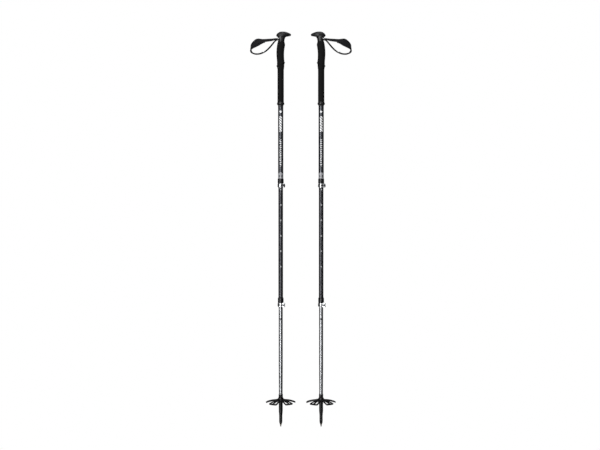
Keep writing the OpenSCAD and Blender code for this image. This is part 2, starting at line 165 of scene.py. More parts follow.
def object_xyz(tree, centre=(0, 0, 0), scale=(1, 1, 1)):
    """Object coordinates moved to a centre and stretched, as a vector and its three parts."""
    place = tree.nodes.new("ShaderNodeTexCoord").outputs["Object"]
    mapping = tree.nodes.new("ShaderNodeMapping")
    mapping.inputs["Location"].default_value = [-c * s for c, s in zip(centre, scale)]
    mapping.inputs["Scale"].default_value = scale
    link(tree, place, mapping.inputs["Vector"])
    parts = tree.nodes.new("ShaderNodeSeparateXYZ")
    link(tree, mapping.outputs[0], parts.inputs[0])
    return mapping.outputs[0], parts.outputs


def noise(tree, vector, scale, detail=4.0, rough=0.55):
    node = tree.nodes.new("ShaderNodeTexNoise")
    node.inputs["Scale"].default_value = scale
    node.inputs["Detail"].default_value = detail
    node.inputs["Roughness"].default_value = rough
    link(tree, vector, node.inputs["Vector"])
    return node.outputs["Fac"]


def speckle(tree, scale, detail=4.0, rough=0.55):
    """Noise on Object coordinates, for the grain of a moulded or worn surface."""
    place, _ = object_xyz(tree)
    return noise(tree, place, scale, detail, rough)


def ramp(tree, value, low, high, out_low=0.0, out_high=1.0):
    """A value's range stretched to another range, and held at its ends."""
    node = tree.nodes.new("ShaderNodeMapRange")
    node.inputs["From Min"].default_value = low
    node.inputs["From Max"].default_value = high
    node.inputs["To Min"].default_value = out_low
    node.inputs["To Max"].default_value = out_high
    link(tree, value, node.inputs["Value"])
    return node.outputs[0]


def mix_color(tree, fac, a, b):
    node = tree.nodes.new("ShaderNodeMix")
    node.data_type = "RGBA"
    link(tree, fac, node.inputs["Factor"])
    for socket, value in ((node.inputs["A"], a), (node.inputs["B"], b)):
        if isinstance(value, tuple):
            socket.default_value = (*value, 1)
        else:
            link(tree, value, socket)
    return node.outputs["Result"]


def bump(tree, shader, height, depth_m, strength=1.0):
    node = tree.nodes.new("ShaderNodeBump")
    node.inputs["Distance"].default_value = depth_m
    node.inputs["Strength"].default_value = strength
    link(tree, height, node.inputs["Height"])
    link(tree, node.outputs[0], shader.inputs["Normal"])


def band(tree, value, low, high, soft=0.00015):
    """1 between two values and 0 outside them, with a soft edge."""
    up = ramp(tree, value, low - soft, low + soft)
    down = ramp(tree, value, high - soft, high + soft, 1.0, 0.0)
    return math_node(tree, "MULTIPLY", up, down)


def either(tree, masks):
    """The strongest of some masks at each point."""
    out = masks[0]
    for mask in masks[1:]:
        out = math_node(tree, "MAXIMUM", out, mask)
    return out


SIDES = {"left": -1, "right": 1}


def pole_x(side):
    low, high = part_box(f"{side}_upper_shaft")
    return (low[0] + high[0]) / 2


def drawn_tube(side, name, color, rough, metal, grain, color_spread):
    """Tube metal with fine lines along its length, and how far round it and how high a point is."""
    mat, tree, shader = plain_material(f"{side}_{name}", color, rough, metal)
    centre = (pole_x(side), 0, 0)
    around, parts = object_xyz(tree, centre)
    lines, _ = object_xyz(tree, centre, (1, 1, 0.02))
    streaks = noise(tree, lines, 2600, 3.0, 0.7)
    cloud = noise(tree, around, 60, 3.0)
    brushed = ramp(tree, streaks, 0.3, 0.7, rough - grain, rough + grain)
    link(tree, brushed, shader.inputs["Roughness"])
    bright = tuple(c * (1 + color_spread) for c in color)
    dull = tuple(c * (1 - color_spread) for c in color)
    skin = mix_color(tree, ramp(tree, cloud, 0.3, 0.7), dull, bright)
    bump(tree, shader, streaks, 0.000004, 0.6)
    return mat, tree, shader, skin, parts


def finish_node(node, mat):
    """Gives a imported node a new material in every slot."""
    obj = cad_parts[node]
    for i in range(len(obj.material_slots)):
        obj.material_slots[i].material = mat
    return obj


# Printing on the tubes, in metres: the heights it covers, its pitch and its half width
PRINT, SILVER_PRINT, SCALE_PRINT = (0.86, 0.87, 0.88), (0.33, 0.335, 0.355), (0.40, 0.41, 0.42)
DASH_ZONE, DASH_STEP, DASH_HALF = (0.959, 1.009), 0.0085, 0.0042
BAR_ZONE, BAR_STEP, BAR_HALF = (0.847, 0.934), 0.0062, 0.0024
GEM_Z, GEM_HALF = 1.024, (0.0041, 0.0045)
FOOT_TOP, FOOT_BOW, FOOT_WINDOW = 0.8275, 60.0, ((0.0026, 0.0056), (0.8115, 0.8190))
SCALE_ZONE, SCALE_START, SCALE_STEP = (0.515, 0.875), 0.4965, 0.05
STOP_ZONE, STOP_HALF = (0.3483, 0.3537), 0.0045


def front_only(tree, mask, y):
    """A mask kept on the side of a tube that faces the front."""
    return math_node(tree, "MULTIPLY", mask, ramp(tree, y, 0.0, -0.0005))


def upper_shaft_finish(side):
    mat, tree, shader, skin, (x, y, z) = drawn_tube(
        side, "dark_anodised", (0.055, 0.058, 0.066), 0.3, 0.75, 0.05, 0.06)
    # Slanted dashes, plain bars and a gem down the front stand for the printing
    slant = math_node(tree, "DIVIDE", math_node(tree, "ADD", z, x), DASH_STEP)
    dash = band(tree, math_node(tree, "FRACT", slant), 0.22, 0.86, 0.03)
    dash = math_node(tree, "MULTIPLY", dash, band(tree, z, *DASH_ZONE))
    dash = math_node(tree, "MULTIPLY", dash, band(tree, x, -DASH_HALF, DASH_HALF))
    bar = math_node(tree, "FRACT", math_node(tree, "DIVIDE", z, BAR_STEP))
    bar = math_node(tree, "MULTIPLY", band(tree, bar, 0.3, 0.72, 0.04), band(tree, z, *BAR_ZONE))
    bar = math_node(tree, "MULTIPLY", bar, band(tree, x, -BAR_HALF, BAR_HALF))
    aside = math_node(tree, "ABSOLUTE", x)
    from_gem = math_node(tree, "ABSOLUTE", math_node(tree, "SUBTRACT", z, GEM_Z))
    gem = ramp(tree, math_node(tree, "ADD", from_gem, aside), *GEM_HALF, 1.0, 0.0)
    marks = front_only(tree, either(tree, [dash, bar, gem]), y)
    # A silver foot with an arched upper edge and two darker windows
    bow = math_node(tree, "MULTIPLY", math_node(tree, "MULTIPLY", x, x), FOOT_BOW)
    below = math_node(tree, "SUBTRACT", math_node(tree, "SUBTRACT", FOOT_TOP, bow), z)
    foot = ramp(tree, below, -0.0002, 0.0002)
    window = math_node(tree, "MULTIPLY", band(tree, aside, *FOOT_WINDOW[0]),
                       band(tree, z, *FOOT_WINDOW[1]))
    foot = math_node(tree, "MULTIPLY", foot, math_node(tree, "SUBTRACT", 1.0, window))
    with_foot = mix_color(tree, foot, skin, SILVER_PRINT)
    link(tree, mix_color(tree, marks, with_foot, PRINT), shader.inputs["Base Color"])
    inked = either(tree, [marks, foot])
    link(tree, math_node(tree, "MULTIPLY_ADD", inked, -0.7, 0.75), shader.inputs["Metallic"])
    finish_node(f"{side}_upper_shaft", mat)


def middle_shaft_finish(side):
    mat, tree, shader, skin, (x, y, z) = drawn_tube(
        side, "black_anodised", (0.034, 0.035, 0.040), 0.32, 0.7, 0.05, 0.06)
    # A tick every five centimetres on the length scale
    step = math_node(tree, "DIVIDE", math_node(tree, "SUBTRACT", z, SCALE_START), SCALE_STEP)
    tick = band(tree, math_node(tree, "FRACT", step), 0.46, 0.56, 0.006)
    tick = math_node(tree, "MULTIPLY", tick, band(tree, z, *SCALE_ZONE))
    tick = math_node(tree, "MULTIPLY", tick, band(tree, x, -0.0012, 0.0020))
    tick = front_only(tree, tick, y)
    link(tree, mix_color(tree, tick, skin, SCALE_PRINT), shader.inputs["Base Color"])
    link(tree, math_node(tree, "MULTIPLY_ADD", tick, -0.65, 0.7), shader.inputs["Metallic"])
    finish_node(f"{side}_middle_shaft", mat)


def lower_shaft_finish(side):
    mat, tree, shader, skin, (x, y, z) = drawn_tube(
        side, "bare_aluminium", (0.31, 0.318, 0.33), 0.34, 1.0, 0.06, 0.05)
    # A dark block marks how far the tube may be pulled out
    mark = math_node(tree, "MULTIPLY", band(tree, z, *STOP_ZONE),
                     band(tree, x, -STOP_HALF, STOP_HALF))
    mark = front_only(tree, mark, y)
    link(tree, mix_color(tree, mark, skin, (0.05, 0.05, 0.055)), shader.inputs["Base Color"])
    finish_node(f"{side}_lower_shaft", mat)


for side in SIDES:
    upper_shaft_finish(side)
    middle_shaft_finish(side)
    lower_shaft_finish(side)

# Clamps ----------------------------------------------------------------------------------------
# Each clamp is a moulded plastic collar, a polished aluminium lever on a steel barrel nut, and a
# black socket-head screw that sets how hard it grips.


def clamp_finishes():
    shell, tree, shader = plain_material("clamp_plastic", (0.0045, 0.005, 0.0065), 0.26, spec=0.4)
    bump(tree, shader, speckle(tree, 1400, 3.0), 0.00002, 0.5)
    bright, tree, shader = plain_material("lever_aluminium", (0.40, 0.41, 0.42), 0.28, 1.0)
    wear = ramp(tree, speckle(tree, 420, 5.0, 0.7), 0.35, 0.75, 0.26, 0.38)
    link(tree, wear, shader.inputs["Roughness"])
    bump(tree, shader, speckle(tree, 900, 3.0), 0.00001, 0.4)
    dark, tree, shader = plain_material("black_steel", (0.045, 0.045, 0.05), 0.34, 1.0)
    link(tree, ramp(tree, speckle(tree, 1800), 0.3, 0.7, 0.28, 0.44), shader.inputs["Roughness"])
    return shell, bright, dark


shell_mat, bright_mat, dark_mat = clamp_finishes()


def soften(obj, width_mm, segments=3, angle_deg=32):
    """Rounds the crisp edges of a node as moulding or polishing does."""
    weld = obj.modifiers.new("weld", "WELD")
    weld.merge_threshold = 0.000005
    edge = obj.modifiers.new("edge", "BEVEL")
    edge.width = width_mm * MM
    edge.segments = segments
    edge.limit_method = "ANGLE"
    edge.angle_limit = math.radians(angle_deg)
    edge.harden_normals = True


for side in SIDES:
    for level in ("upper", "lower"):
        soften(finish_node(f"{side}_{level}_collar", shell_mat), 0.25)
        soften(finish_node(f"{side}_{level}_lever", bright_mat), 0.3)
        soften(finish_node(f"{side}_{level}_barrel", dark_mat), 0.15, 2)
        soften(finish_node(f"{side}_{level}_screw", dark_mat), 0.15, 2)

# Hidden pieces ---------------------------------------------------------------------------------
# The grip core, the strap's pin and wedge, and the guide plugs of the tubes show only when the
# poles are taken apart.

core_mat, tree, shader = plain_material("core_plastic", (0.05, 0.05, 0.052), 0.5)
bump(tree, shader, speckle(tree, 900), 0.00003)
guide_mat, tree, shader = plain_material("guide_plastic", (0.72, 0.69, 0.62), 0.42)
bump(tree, shader, speckle(tree, 900), 0.00003)
pin_mat, tree, shader = plain_material("pin_steel", (0.6, 0.6, 0.6), 0.25, 1.0)
link(tree, ramp(tree, speckle(tree, 900), 0.3, 0.7, 0.18, 0.34), shader.inputs["Roughness"])
HIDDEN = {"grip_core": core_mat, "strap_wedge": core_mat, "strap_pin": pin_mat,
          "middle_bush": guide_mat, "lower_bush": guide_mat}
for side in SIDES:
    for part, mat in HIDDEN.items():
        finish_node(f"{side}_{part}", mat)

# Grip foam -------------------------------------------------------------------------------------
# The hand grip is one piece of dense black foam, ground to shape, with a swelling under the
# forefinger and a slanted ridge where the shaped part ends. Straight foam goes on below it.

GRIP_FACING = {"left": 1, "right": -1}


def smooth_rows(rows, steps):
    """Rows of numbers with a smooth curve's rows put between them."""
    out = []
    last = len(rows) - 1
    for i in range(last):
        a, b, c, d = (rows[max(0, min(last, k))] for k in (i - 1, i, i + 1, i + 2))
        for s in range(steps):
            t = s / steps
            out.append([0.5 * (2 * q + (r - p) * t + (2 * p - 5 * q + 4 * r - w) * t * t
                               + (3 * q - p - 3 * r + w) * t ** 3) for p, q, r, w in zip(a, b, c, d)])
    return out + [list(rows[-1])]


def swept_rings(rings, count, closed_ends=(True, True)):
    """A tube of quads: one circle of vertices extruded from ring to ring, its ends closed."""
    bm = bmesh.new()
    circle = bmesh.ops.create_circle(bm, segments=count, radius=1.0)["verts"]
    loops = [circle]
    edges = bm.edges[:]
    for _ in rings[1:]:
        made = bmesh.ops.extrude_edge_only(bm, edges=edges)["geom"]
        edges = [g for g in made
                 if isinstance(g, bmesh.types.BMEdge) and all(v in made for v in g.verts)]
        step = {}
        for v in (g for g in made if isinstance(g, bmesh.types.BMVert)):
            step[round(math.atan2(v.co.y, v.co.x), 3)] = v
        loops.append([step[round(math.atan2(v.co.y, v.co.x), 3)] for v in circle])
    caps = [loop for loop, closed in zip((loops[0], loops[-1]), closed_ends) if closed]
    for loop in caps:
        bm.faces.new(loop)
    for loop, ring in zip(loops, rings):
        for v, co in zip(loop, ring):
            v.co = co
    bmesh.ops.recalc_face_normals(bm, faces=bm.faces)
    return bm, loops


def oval_ring(level, count, facing, taper=0.0):
    """Points round an oval with slightly squared sides: height, back, front and half width, in mm."""
    z, back, front, half = level[:4]
    points = []
    for i in range(count):
        a = 2 * math.pi * i / count
        c, s = (math.copysign(abs(f(a)) ** 0.85, f(a)) for f in (math.cos, math.sin))
        x = (back + front) / 2 + (front - back) / 2 * c
        y = half * s * (1 - taper * max(0.0, math.cos(a)))
        points.append([x * facing, y * facing, z])
    return points


def placed(points, side):
    """Points in mm about a pole's axis, as places in metres."""
    return [Vector((pole_x(side) + x * MM, y * MM, z * MM)) for x, y, z in points]


def foam_material():
    mat, tree, shader = plain_material("grip_foam", (0.006, 0.006, 0.0063), 0.78, spec=0.14)
    place, _ = object_xyz(tree)
    cells = tree.nodes.new("ShaderNodeTexVoronoi")
    cells.inputs["Scale"].default_value = 2600
    link(tree, place, cells.inputs["Vector"])
    cloud = noise(tree, place, 170, 4.0)
    skin = mix_color(tree, ramp(tree, cloud, 0.3, 0.7),
                     (0.0036, 0.0036, 0.0038), (0.0058, 0.0058, 0.006))
    link(tree, skin, shader.inputs["Base Color"])
    link(tree, ramp(tree, cloud, 0.3, 0.7, 0.68, 0.86), shader.inputs["Roughness"])
    pores = math_node(tree, "MULTIPLY_ADD", cloud, 0.6, cells.outputs["Distance"])
    bump(tree, shader, pores, 0.00012, 0.7)
    shader.inputs["Sheen Weight"].default_value = 0.02
    shader.inputs["Sheen Roughness"].default_value = 0.5
    return mat


foam_mat = foam_material()
FOAM_LEVELS = [
    [1162.0, -10.3, 10.4, 10.5], [1163.5, -10.9, 10.9, 11.0], [1172, -11.7, 11.6, 11.8],
    [1187, -11.9, 12.2, 12.2], [1197, -12.7, 11.3, 12.4], [1210, -13.6, 11.0, 12.6],
    [1222, -13.4, 11.5, 12.7], [1233, -12.5, 13.0, 12.7], [1241, -11.4, 14.3, 12.5],
    [1246, -10.5, 13.5, 12.2], [1250.2, -9.4, 12.4, 11.9], [1251.2, -8.6, 11.6, 11.2]]
RIDGE_Z, RIDGE_SLOPE, RIDGE_H, RIDGE_W = 1178.0, 0.46, 2.2, 2.1
FLUTES, FLUTE_DEPTH, FLUTE_LOW, FLUTE_HIGH = 26, 0.12, 1190, 1240
FOAM_STEPS, ROUND_STEPS = 9, 72


def foam_piece(side):
    facing = GRIP_FACING[side]
    rings = []
    for level in smooth_rows(FOAM_LEVELS, FOAM_STEPS):
        ring = []
        for x, y, z in oval_ring(level, ROUND_STEPS, facing):
            off = z - (RIDGE_Z + RIDGE_SLOPE * x * facing)
            crest = RIDGE_H * math.exp(-(off / (RIDGE_W if off < 0 else RIDGE_W * 0.8)) ** 2)
            r = math.hypot(x, y)
            flute = FLUTE_DEPTH * max(0.0, math.sin(FLUTES * math.atan2(y, x)))
            k = (r + crest - (flute if FLUTE_LOW < z < FLUTE_HIGH else 0.0)) / r
            ring.append([x * k, y * k, z])
        rings.append(placed(ring, side))
    bm, _ = swept_rings(rings, ROUND_STEPS)
    piece = new_piece(f"{side}_foam_grip", bm, [foam_mat], 50)
    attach(piece, f"{side}_grip_section")
    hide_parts(f"{side}_grip_foam")


def lathe(name, profile, x, mats, steps=96, sharp_deg=35):
    """A closed body of revolution about a pole's axis, from points of radius and height in mm."""
    bm = bmesh.new()
    verts = [bm.verts.new((r * MM, 0, z * MM)) for r, z in profile]
    edges = [bm.edges.new((a, b)) for a, b in zip(verts, verts[1:] + verts[:1])]
    bmesh.ops.spin(bm, geom=verts + edges, axis=(0, 0, 1), cent=(0, 0, 0), angle=2 * math.pi,
                   steps=steps, use_merge=True)
    bmesh.ops.remove_doubles(bm, verts=bm.verts, dist=1e-7)
    bmesh.ops.recalc_face_normals(bm, faces=bm.faces)
    bmesh.ops.translate(bm, verts=bm.verts, vec=(x, 0, 0))
    return new_piece(name, bm, mats, sharp_deg)


def arc(cx, cz, r, start, end, n=6):
    """Points of a rounded corner, in degrees."""
    return [(cx + r * math.cos(math.radians(start + (end - start) * i / n)),
             cz + r * math.sin(math.radians(start + (end - start) * i / n))) for i in range(n + 1)]


BORE = 8.55


def extension_piece(side):
    outer, low, high, corner = 10.3, 1056.1, 1162.0, 0.9
    profile = [(BORE, low)] + arc(outer - corner, low + corner, corner, -90, 0)
    profile += arc(outer - corner, high - corner, corner, 0, 90) + [(BORE, high)]
    piece = lathe(f"{side}_foam_sleeve", profile, pole_x(side), [foam_mat])
    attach(piece, f"{side}_grip_section")
    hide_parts(f"{side}_grip_extension")


# Rubber head and end ring ----------------------------------------------------------------------
# A moulded rubber head with a hooked beak caps the grip, with a flared slot at its back for the
# strap. A ring of the same rubber closes the lower end of the foam.

def rubber_material():
    mat, tree, shader = plain_material("head_rubber", (0.007, 0.007, 0.0075), 0.42, spec=0.5)
    place, _ = object_xyz(tree)
    cloud = noise(tree, place, 260, 4.0)
    link(tree, ramp(tree, cloud, 0.3, 0.7, 0.36, 0.5), shader.inputs["Roughness"])
    bump(tree, shader, noise(tree, place, 3200, 2.0), 0.00003, 0.7)
    return mat


rubber_mat = rubber_material()
# Height, back, front, half width, and how much the beak narrows
HEAD_LEVELS = [
    [1251.0, -8.4, 11.6, 11.2, 0], [1251.6, -8.9, 12.2, 11.7, 0], [1256, -8.0, 12.5, 11.4, 0.02],
    [1261, -8.2, 13.6, 11.6, 0.06], [1265, -10.0, 15.4, 12.4, 0.14], [1267.6, -12.2, 18.4, 13.2, 0.3],
    [1268.9, -13.2, 26.5, 13.4, 0.5], [1270.2, -13.9, 32.2, 13.4, 0.58],
    [1272.6, -14.2, 33.6, 13.3, 0.6],
    [1275.2, -12.8, 33.4, 12.8, 0.62], [1277.6, -10.8, 30.6, 11.8, 0.55],
    [1280, -8.0, 25.6, 10.2, 0.45], [1282, -4.8, 20.2, 7.8, 0.3],
    [1283.2, -1.6, 15.6, 5.4, 0.15], [1283.8, 2.2, 11.2, 2.8, 0]]
HEAD_STEPS = 6
# The slot for the strap: its outline from the side, along and up, and half its width
SLOT_OUTLINE = [(0.8, 1256.2), (0.8, 1266.2), (-7, 1266.2), (-10, 1267.2), (-18, 1270.6),
                (-18, 1250.4), (-8.2, 1254.6), (-5.5, 1255.8)]
SLOT_HALF = 9.4


def applied(piece):
    """Replaces a piece's mesh with what its modifiers make of it."""
    graph = bpy.context.evaluated_depsgraph_get()
    graph.update()
    made = bpy.data.meshes.new_from_object(piece.evaluated_get(graph))
    piece.modifiers.clear()
    piece.data = made
    return piece


def cut(piece, cutter):
    """Takes the cutter's shape out of a piece."""
    tool = piece.modifiers.new("cut", "BOOLEAN")
    tool.operation, tool.solver, tool.object = "DIFFERENCE", "EXACT", cutter
    applied(piece)
    bpy.data.objects.remove(cutter)


def head_piece(side):
    facing = GRIP_FACING[side]
    rings = [placed(oval_ring(level, ROUND_STEPS, facing, level[4]), side)
             for level in smooth_rows(HEAD_LEVELS, HEAD_STEPS)]
    bm, _ = swept_rings(rings, ROUND_STEPS)
    piece = new_piece(f"{side}_rubber_head", bm, [rubber_mat], 40)
    bm = bmesh.new()
    corners = placed([[x * facing, -SLOT_HALF * facing, z] for x, z in SLOT_OUTLINE], side)
    verts = [bm.verts.new(corner) for corner in corners]
    face = bm.faces.new(verts)
    deep = bmesh.ops.extrude_face_region(bm, geom=[face])["geom"]
    bmesh.ops.translate(bm, vec=(0, 2 * SLOT_HALF * facing * MM, 0),
                        verts=[v for v in deep if isinstance(v, bmesh.types.BMVert)])
    bmesh.ops.recalc_face_normals(bm, faces=bm.faces)
    cut(piece, new_piece("slot_cutter", bm, []))
    piece.data.set_sharp_from_angle(angle=math.radians(40))
    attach(piece, f"{side}_grip_section")
    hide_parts(f"{side}_grip_head")


def ring_piece(side):
    top = 1056.0
    profile = [(BORE, top - 13), (8.9, top - 13)] + arc(9.6, top - 11.4, 0.7, 200, 150, 3)
    profile += [(9.2, top - 10.6)] + arc(11.05, top - 7.2, 0.8, -45, 0)
    profile += arc(11.05, top - 3.4, 0.8, 0, 60)
    profile += [(10.4, top - 1.2), (10.4, top), (BORE, top)]
    piece = lathe(f"{side}_end_ring", profile, pole_x(side), [rubber_mat])
    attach(piece, f"{side}_grip_section")
    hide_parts(f"{side}_extension_ring")


for side in SIDES:
    foam_piece(side)
    extension_piece(side)
    head_piece(side)
    ring_piece(side)

# Wrist strap -----------------------------------------------------------------------------------
# A flat woven loop runs round the pin in the head. A padded lining, bound along its edges, is
# stitched inside its outer half, where it carries the wrist.

# Along, across, height and lean of the webbing's width, with its turn round the pin at the end.
# The right loop mirrors the left one.
STRAP_ROUTE = [
    [-5.5, 0, 1264.4, 0], [-16, 0, 1260.4, 23], [-28, -1, 1257.4, 33], [-40, -2, 1256, 37],
    [-52, -3, 1254.6, 41], [-63, -4, 1253.2, 47], [-75, -4, 1250, 54], [-86, -3, 1243, 52],
    [-94.5, -2, 1234, 41], [-98, 0, 1225, 27], [-95.4, 1, 1216.4, 14], [-86, 2, 1211.4, 6],
    [-74, 2, 1210.4, 6], [-62, 2, 1213.2, 5], [-48, 1, 1221.4, -4], [-35, 0, 1233.4, -8],
    [-24, 0, 1246.6, -8], [-15.5, 0, 1255.8, -5], [-5.5, 0, 1258.8, 0]]
ROUND_PIN = [[-3.4, 0, 1258.9, 0], [-1.9, 0, 1260.0, 0], [-1.5, 0, 1261.6, 0], [-1.9, 0, 1263.2, 0],
             [-3.4, 0, 1264.3, 0]]
STRAP_STEPS = 8


def strap_frames(side):
    """Points along the loop with the directions of its width and of its inner face."""
    hand = -SIDES[side]
    route = [[x, y * hand, z, lean * hand]
             for x, y, z, lean in STRAP_ROUTE + ROUND_PIN + STRAP_ROUTE[:1]]
    rows = smooth_rows(route, STRAP_STEPS)[:-1]
    count = len(rows)
    out = []
    for i, (x, y, z, lean) in enumerate(rows):
        ahead, behind = rows[(i + 1) % count], rows[i - 1]
        along = Vector([a - b for a, b in zip(ahead[:3], behind[:3])]).normalized()
        w = Vector((0, math.cos(math.radians(lean)), math.sin(math.radians(lean))))
        inward = along.cross(w).normalized()
        across = inward.cross(along)
        turn = Matrix.Rotation(0 if side == "left" else math.pi, 3, "Z")
        out.append((turn @ Vector((x, y, z)), turn @ across, turn @ inward))
    return out


def uv_from_grid(bm, loops, widths, lengths, closed):
    """A UV map in metres: across a band's section and along its length."""
    place = {v: (i, j) for i, loop in enumerate(loops) for j, v in enumerate(loop)}
    layer = bm.loops.layers.uv.new("weave")
    rows, count = len(loops), len(loops[0])
    for face in bm.faces:
        spots = [place[v] for v in face.verts]
        rows_here, cols_here = [s[0] for s in spots], [s[1] for s in spots]
        for corner, (i, j) in zip(face.loops, spots):
            if closed and i == 0 and max(rows_here) == rows - 1 and rows > 2:
                i = rows
            if j == 0 and max(cols_here) == count - 1 and count > 2:
                j = count
            corner[layer].uv = (widths[j], lengths[i])


def cloth_material(name, color, weave_mm, depth_mm, rough, sheen):
    """Plain weave on a band's own UV map: warp and weft threads that pass over each other."""
    mat, tree, shader = plain_material(name, color, rough, spec=0.25)
    uv = tree.nodes.new("ShaderNodeUVMap")
    uv.uv_map = "weave"
    parts = tree.nodes.new("ShaderNodeSeparateXYZ")
    link(tree, uv.outputs[0], parts.inputs[0])
    turn = 2 * math.pi / (weave_mm * MM)
    u = math_node(tree, "SINE", math_node(tree, "MULTIPLY", parts.outputs[0], turn))
    v = math_node(tree, "SINE", math_node(tree, "MULTIPLY", parts.outputs[1], turn * 0.7))
    woven = math_node(tree, "MULTIPLY_ADD", math_node(tree, "MULTIPLY", u, v), 0.5, 0.5)
    place, _ = object_xyz(tree)
    fuzz = noise(tree, place, 2400, 3.0)
    cloud = noise(tree, place, 120, 3.0)
    height = math_node(tree, "MULTIPLY_ADD", fuzz, 0.35, woven)
    bump(tree, shader, height, depth_mm * MM, 0.8)
    # The colour mixes a random tone with painted shade in the weave: the raised threads are lighter
    # and the dips between them darker.
    low = tuple(c * 0.7 for c in color)
    high = tuple(c * 1.35 for c in color)
    tone_and_weave_shade = math_node(tree, "MULTIPLY_ADD", cloud, 0.5, math_node(tree, "MULTIPLY", woven, 0.5))
    link(tree, mix_color(tree, ramp(tree, tone_and_weave_shade, 0.2, 0.8), low, high), shader.inputs["Base Color"])
    shader.inputs["Sheen Weight"].default_value = sheen
    shader.inputs["Sheen Roughness"].default_value = 0.4
    return mat


webbing_mat = cloth_material("strap_webbing", (0.0045, 0.0045, 0.006), 1.1, 0.16, 0.72, 0.04)
lining_mat = cloth_material("strap_lining", (0.0042, 0.0044, 0.0072), 1.6, 0.2, 0.8, 0.04)
binding_mat = cloth_material("strap_binding", (0.0035, 0.0035, 0.0042), 0.8, 0.1, 0.7, 0.04)
thread_mat, tree, shader = plain_material("sewing_thread", (0.03, 0.03, 0.034), 0.6, spec=0.3)
bump(tree, shader, speckle(tree, 5200, 2.0), 0.00004)


def section(half_w, low, high, edge, n_edge=5, n_flat=8):
    """Outline of a band: two flat faces joined by round edges, as across and outward, in mm."""
    points = []
    for i in range(n_flat + 1):
        points.append((-half_w + edge + (2 * half_w - 2 * edge) * i / n_flat, low))
    mid, half_t = (low + high) / 2, (high - low) / 2
    for i in range(1, n_edge):
        a = -math.pi / 2 + math.pi * i / n_edge
        points.append((half_w - edge + edge * math.cos(a), mid + half_t * math.sin(a)))
    for i in range(n_flat + 1):
        points.append((half_w - edge - (2 * half_w - 2 * edge) * i / n_flat, high))
    for i in range(1, n_edge):
        a = math.pi / 2 + math.pi * i / n_edge
        points.append((-half_w + edge + edge * math.cos(a), mid + half_t * math.sin(a)))
    return points


def band_piece(name, side, frames, outlines, mats, closed):
    """A band swept along the loop, with its section given in mm at each point."""
    rings = []
    for (p, across, inward), outline in zip(frames, outlines):
        rings.append(placed([p + across * u + inward * v for u, v in outline], side))
    bm, loops = swept_rings(rings, len(outlines[0]), (not closed, not closed))
    if closed:
        first, last = ([e for e in bm.edges if e.is_boundary and all(v in set(loop) for v in e.verts)]
                       for loop in (loops[0], loops[-1]))
        bmesh.ops.bridge_loops(bm, edges=first + last)
        bmesh.ops.recalc_face_normals(bm, faces=bm.faces)
    lengths = [0.0]
    for (p, _, _), (q, _, _) in zip(frames, frames[1:] + frames[:1]):
        lengths.append(lengths[-1] + (q - p).length * MM)
    outline = outlines[len(outlines) // 2]
    widths = [0.0]
    for a, b in zip(outline, outline[1:] + outline[:1]):
        widths.append(widths[-1] + math.dist(a, b) * MM)
    uv_from_grid(bm, loops, widths, lengths, closed)
    return new_piece(name, bm, mats, 60), lengths[-1] if closed else lengths[len(frames) - 1]


def eased(t):
    """From 0 to 1 with a soft start and end."""
    t = max(0.0, min(1.0, t))
    return t * t * (3 - 2 * t)


PAD_FIRST, PAD_LAST = 4 * STRAP_STEPS, 13 * STRAP_STEPS + 3
PAD_END_HALF, PAD_HALF, PAD_GROWS_OVER = 9.4, 16.4, 2.2 * STRAP_STEPS
# The webbing's half width and half thickness, and how far in the pad's two faces lie, in mm
WEBBING_HALF, WEBBING_HALF_T, PAD_BACK, PAD_FACE = 8.9, 0.75, 0.9, 2.4
BINDING_R, BINDING_IN, BINDING_SIDES = 1.25, 1.75, 12
STITCH_PITCH, STITCH_IN, STITCH_SIZE = 3.0, 2.5, (1.05, 0.22, 0.22)


def pad_half_width(i):
    """Half the pad's width at a point of the loop: it widens over a few centimetres at each end."""
    grown = eased(min(i - PAD_FIRST, PAD_LAST - i) / PAD_GROWS_OVER)
    return PAD_END_HALF + (PAD_HALF - PAD_END_HALF) * grown


def pad_outline(half):
    """The pad's section: flat on the webbing, crowned inside, with a sewn channel near each edge."""
    outline = []
    for u, v in section(half, PAD_BACK, PAD_FACE, 0.8, 5, 18):
        t = abs(u / half)
        if v > PAD_FACE - 0.1:
            v += 1.3 * max(0.0, 1 - (t / 0.74) ** 3) - 0.25 * math.exp(-((t - 0.78) / 0.05) ** 2)
        outline.append((u, v))
    return outline


def stitch_rows(side, pad_frames, halves):
    """Two rows of stitches on the pad's inner face, as one mesh."""
    bm = bmesh.new()
    travelled, next_at = 0.0, STITCH_PITCH
    for k in range(1, len(pad_frames) - 1):
        (p, across, inward), (q, _, _) = pad_frames[k], pad_frames[k + 1]
        along = q - p
        while next_at < travelled + along.length:
            t = (next_at - travelled) / along.length
            for edge in (-1, 1):
                at = p + along * t + across * edge * halves[k] * 0.8 + inward * STITCH_IN
                made = bmesh.ops.create_uvsphere(bm, u_segments=6, v_segments=4, radius=1.0)["verts"]
                spin = Matrix((along.normalized(), across, inward)).transposed().to_4x4()
                size = Matrix.Diagonal((*(n * MM for n in STITCH_SIZE), 1))
                spot = Matrix.Translation(placed([at], side)[0])
                bmesh.ops.transform(bm, matrix=spot @ spin @ size, verts=made)
            next_at += STITCH_PITCH
        travelled += along.length
    return bm


